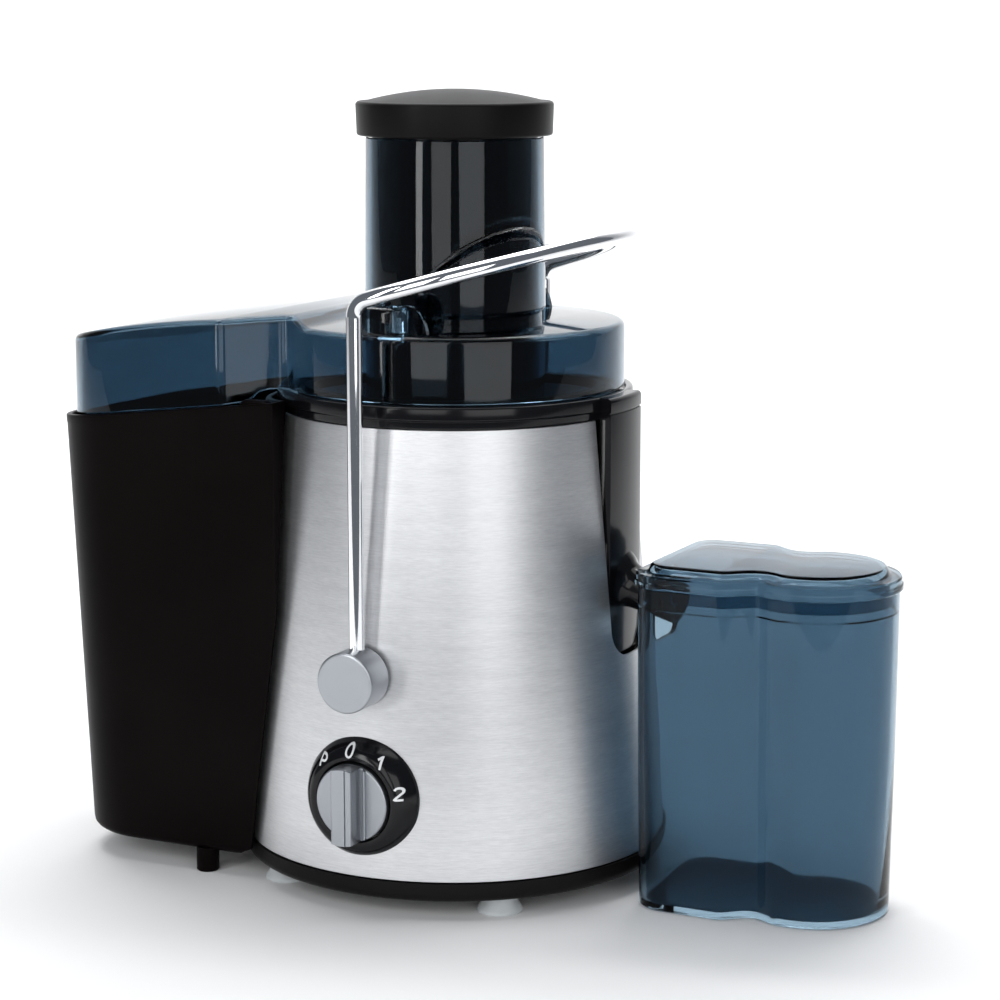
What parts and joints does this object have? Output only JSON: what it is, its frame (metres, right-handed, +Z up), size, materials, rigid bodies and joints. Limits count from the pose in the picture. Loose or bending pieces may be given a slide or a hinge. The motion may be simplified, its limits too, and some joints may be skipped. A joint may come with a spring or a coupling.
{
  "type": "centrifugal juicer",
  "caption": "Centrifugal juicer: flared steel body, smoke lid with wide feed chute and pusher, locking arm, rotary dial, pulp container and lidded juice jug.",
  "frame": {"origin": "on the counter, under the middle of the whole object's box; the motor's axis stands 17.5 mm towards -X and 2.2 mm towards +Y from it", "axes": "+Z up, +X from the motor to the jug, -Y the front with the dial"},
  "size_m": [0.396, 0.2204, 0.3605],
  "materials": {
    "black_gloss": "glossy black ABS",
    "black_satin": "satin black polypropylene",
    "brushed_skin": "brushed round the body",
    "smoke_clear": "clear smoke-blue plastic",
    "chrome_rod": "bright chrome",
    "satin_silver": "satin silver",
    "foot_rubber": "pale translucent silicone",
    "dark_rubber": "black rubber",
    "inner_plastic": "dark moulded plastic",
    "white_plastic": "natural nylon",
    "iron": "stamped laminations and pressed brackets",
    "copper": "enamelled copper",
    "steel": "bright steel",
    "carbon": "pressed carbon"
  },
  "bodies": {
    "root": {"base_tray": "black_satin", "suction_feet": "foot_rubber", "base_screws": "steel", "body_shell": "black_gloss", "steel_skin": "brushed_skin", "deck": "inner_plastic", "shaft_seal": "dark_rubber", "motor_mounts": "dark_rubber", "motor_upper_bracket": "iron", "motor_lower_bracket": "iron", "upper_bearing": "steel", "lower_bearing": "steel", "stator_stack": "iron", "field_coils": "copper", "brush_holders": "copper", "carbon_brushes": "carbon", "motor_screws": "steel", "juice_collector": "black_gloss", "spout": "black_gloss", "lid_seal": "dark_rubber", "lid": "smoke_clear", "pulp_container": "black_satin", "pivot_pins": "steel", "dial_bezel": "black_gloss", "rotary_switch": "inner_plastic", "safety_switch": "inner_plastic", "cord_inlet": "dark_rubber"},
    "drive": {"rotor_shaft": "steel", "armature": "copper", "commutator": "copper", "cooling_fan": "inner_plastic", "drive_coupling": "white_plastic", "basket_base": "black_satin", "sieve_wall": "steel", "basket_rim": "black_satin", "grater_disc": "steel"},
    "pusher": {"pusher_body": "black_gloss", "pusher_cap": "black_satin"},
    "locking_arm": {"arm_rod": "chrome_rod", "arm_hub_front": "satin_silver", "arm_hub_back": "satin_silver"},
    "knob": {"control_knob": "satin_silver", "switch_shaft": "steel"},
    "jug": {"jug": "smoke_clear"},
    "jug_lid": {"jug_lid": "smoke_clear"}
  },
  "joints": [
    {"name": "drive_spin", "type": "hinge", "parent": "root", "child": "drive", "pos_m": [-0.0175, 0.00225, 0.1], "axis": [0, 0, 1], "continuous": true},
    {"name": "pusher_slide", "type": "slide", "parent": "root", "child": "pusher", "axis": [0, 0, 1], "range_m": [0, 0.15]},
    {"name": "arm_swing", "type": "hinge", "parent": "root", "child": "locking_arm", "pos_m": [-0.0175, 0.00225, 0.107], "axis": [0, 1, 0], "range_deg": [0, 50]},
    {"name": "knob_turn", "type": "hinge", "parent": "root", "child": "knob", "pos_m": [-0.0175, -0.09775, 0.052], "axis": [0, 1, 0], "range_deg": [-42, 75]},
    {"name": "jug_slide", "type": "slide", "parent": "root", "child": "jug", "axis": [1, 0, 0], "range_m": [0, 0.12]},
    {"name": "jug_lid_lift", "type": "slide", "parent": "jug", "child": "jug_lid", "axis": [0, 0, 1], "range_m": [0, 0.13]}
  ]
}
